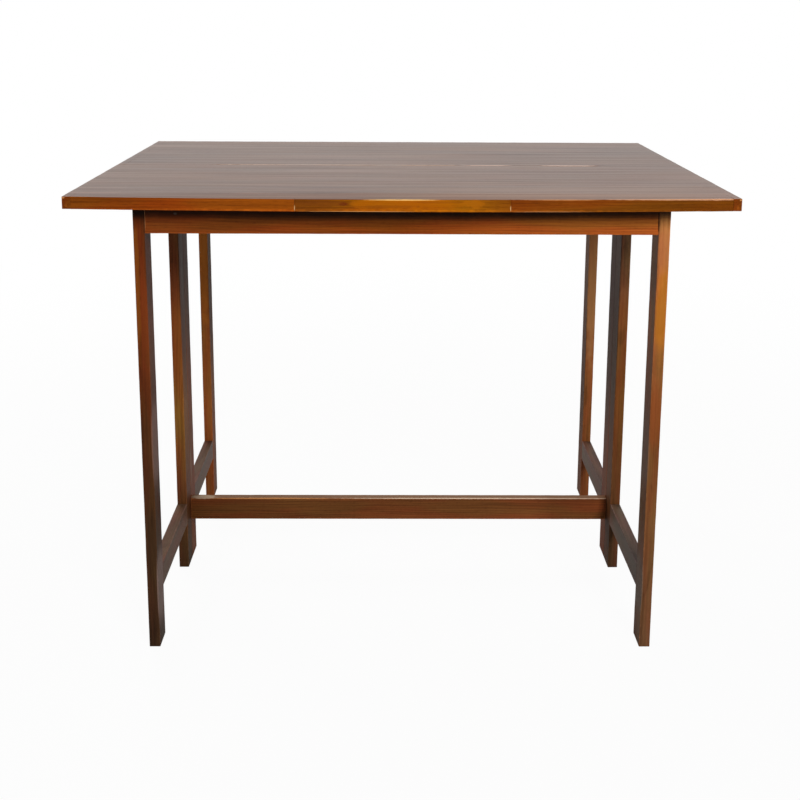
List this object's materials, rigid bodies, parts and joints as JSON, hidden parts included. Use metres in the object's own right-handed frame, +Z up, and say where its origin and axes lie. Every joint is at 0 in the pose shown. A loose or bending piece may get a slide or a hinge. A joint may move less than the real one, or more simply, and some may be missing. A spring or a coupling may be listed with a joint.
{
  "type": "extending dining table",
  "caption": "Extending dining table on slim plank legs with low rails; top and base part at mid-depth on wooden runners, and a folding leaf is stored beneath.",
  "frame": {"origin": "on the floor under the middle of the closed top", "axes": "+X along the table's long side, +Y to the rear, +Z up"},
  "size_m": [1.012, 0.804, 0.755],
  "materials": {
    "top_veneer": "satin lacquered teak, grain along the table",
    "lipping": "satin lacquered teak, worn at the arrises",
    "frame_wood": "satin oiled teak, grain along each piece",
    "runner_wood": "bare beech, waxed where it slides",
    "brass": "dulled brass",
    "steel": "plain steel screws and pins"
  },
  "bodies": {
    "rear_half": {"top_panel_rear": "top_veneer", "rear_lip": "lipping", "side_lip_rear_left": "lipping", "side_lip_rear_right": "lipping", "rear_leg_left": "frame_wood", "rear_leg_right": "frame_wood", "middle_leg_rear_left": "frame_wood", "middle_leg_rear_right": "frame_wood", "low_rail_rear_left": "frame_wood", "low_rail_rear_right": "frame_wood", "side_apron_rear_left": "frame_wood", "side_apron_rear_right": "frame_wood", "rear_apron": "frame_wood", "inner_rail_rear": "frame_wood", "stretcher": "frame_wood", "corner_blocks_rear": "runner_wood", "block_screws_rear": "steel", "runner_rear_left": "runner_wood", "runner_rear_right": "runner_wood", "runner_screws_rear": "steel", "stop_pins_rear": "steel", "seam_dowels": "runner_wood", "leaf_lower": "top_veneer", "leaf_upper": "top_veneer", "leaf_hinges": "brass", "leaf_dowels": "runner_wood", "leaf_slats": "runner_wood", "button_pivots": "brass"},
    "front_half": {"top_panel_front": "top_veneer", "front_lip_left": "lipping", "front_lip_centre": "lipping", "front_lip_right": "lipping", "side_lip_front_left": "lipping", "side_lip_front_right": "lipping", "front_leg_left": "frame_wood", "front_leg_right": "frame_wood", "middle_leg_front_left": "frame_wood", "middle_leg_front_right": "frame_wood", "low_rail_front_left": "frame_wood", "low_rail_front_right": "frame_wood", "side_apron_front_left": "frame_wood", "side_apron_front_right": "frame_wood", "front_apron": "frame_wood", "inner_rail_front": "frame_wood", "corner_blocks_front": "runner_wood", "block_screws_front": "steel", "runner_front_left": "runner_wood", "runner_front_right": "runner_wood", "runner_screws_front": "steel", "stop_pins_front": "steel"},
    "left_slider": {"runner_slider_left": "runner_wood"},
    "right_slider": {"runner_slider_right": "runner_wood"},
    "left_button": {"seam_button_left": "frame_wood"},
    "right_button": {"seam_button_right": "frame_wood"}
  },
  "joints": [
    {"name": "pull_apart", "type": "slide", "parent": "rear_half", "child": "front_half", "axis": [0, -1, 0], "range_m": [0, 0.3]},
    {"name": "left_runner_slide", "type": "slide", "parent": "rear_half", "child": "left_slider", "axis": [0, -1, 0], "range_m": [0, 0.15]},
    {"name": "right_runner_slide", "type": "slide", "parent": "rear_half", "child": "right_slider", "axis": [0, -1, 0], "range_m": [0, 0.15]},
    {"name": "left_button_turn", "type": "hinge", "parent": "rear_half", "child": "left_button", "pos_m": [-0.2, 0.00925, 0.6857], "axis": [0, 0, 1], "range_deg": [0, 90]},
    {"name": "right_button_turn", "type": "hinge", "parent": "rear_half", "child": "right_button", "pos_m": [0.2, 0.00925, 0.6857], "axis": [0, 0, 1], "range_deg": [-90, 0]}
  ],
  "couplings": [
    {"joint": "left_runner_slide", "follows": "pull_apart", "ratio": 0.5},
    {"joint": "right_runner_slide", "follows": "pull_apart", "ratio": 0.5}
  ]
}
